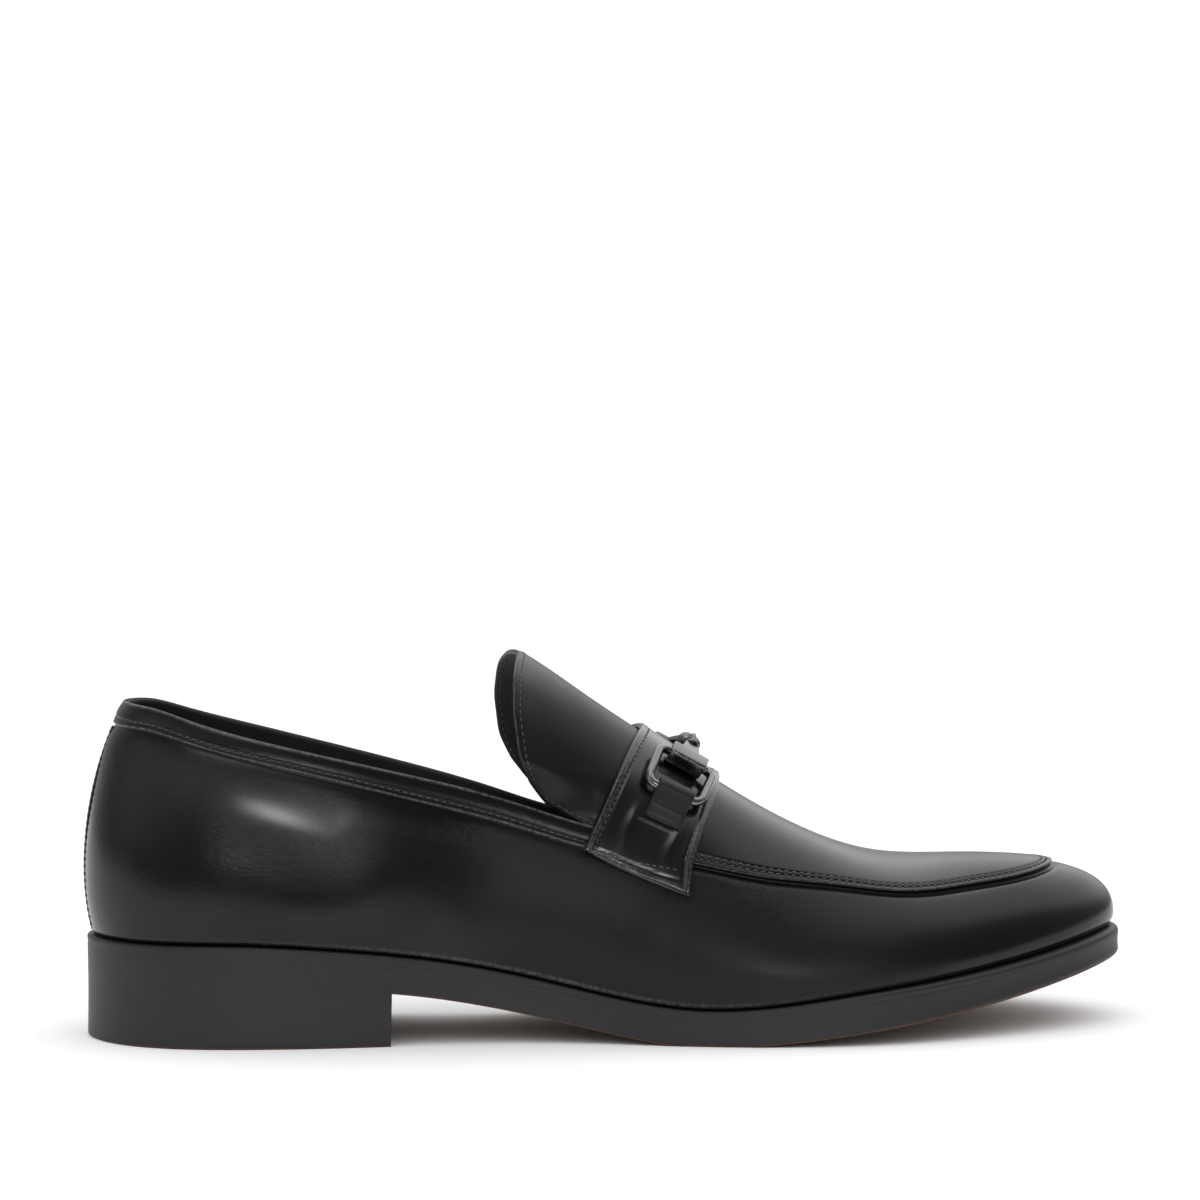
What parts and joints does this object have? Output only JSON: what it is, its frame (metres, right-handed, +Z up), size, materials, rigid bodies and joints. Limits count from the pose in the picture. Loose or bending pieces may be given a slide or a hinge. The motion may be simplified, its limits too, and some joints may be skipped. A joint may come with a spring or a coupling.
{
  "type": "bit loafer",
  "caption": "Slip-on dress shoe with a hollow leather upper, raised apron seam, standing tongue, instep strap with a snaffle bit, and a moulded sole with a low block heel.",
  "frame": {"origin": "the middle of the heel's flat base, on the floor", "axes": "+X towards the toe, +Y towards the inner side of the foot, +Z up"},
  "size_m": [0.3056, 0.1016, 0.1106],
  "materials": {
    "upper_leather": "smooth black calf, polished",
    "tongue_leather": "smooth black calf, polished",
    "strap_leather": "smooth black calf, high polish",
    "tab_leather": "smooth black calf, polished",
    "sole_rubber": "black moulded rubber, satin",
    "insole_leather": "dark lining leather, matt",
    "gunmetal": "dark gunmetal plating, polished"
  },
  "bodies": {
    "root": {"upper": "upper_leather", "tongue": "tongue_leather", "strap": "strap_leather", "tab_lateral": "tab_leather", "tab_medial": "tab_leather", "sole_unit": "sole_rubber", "insole": "insole_leather", "ring_lateral": "gunmetal", "ring_medial": "gunmetal", "bit_bar_lateral": "gunmetal", "bit_bar_medial": "gunmetal"}
  },
  "joints": []
}
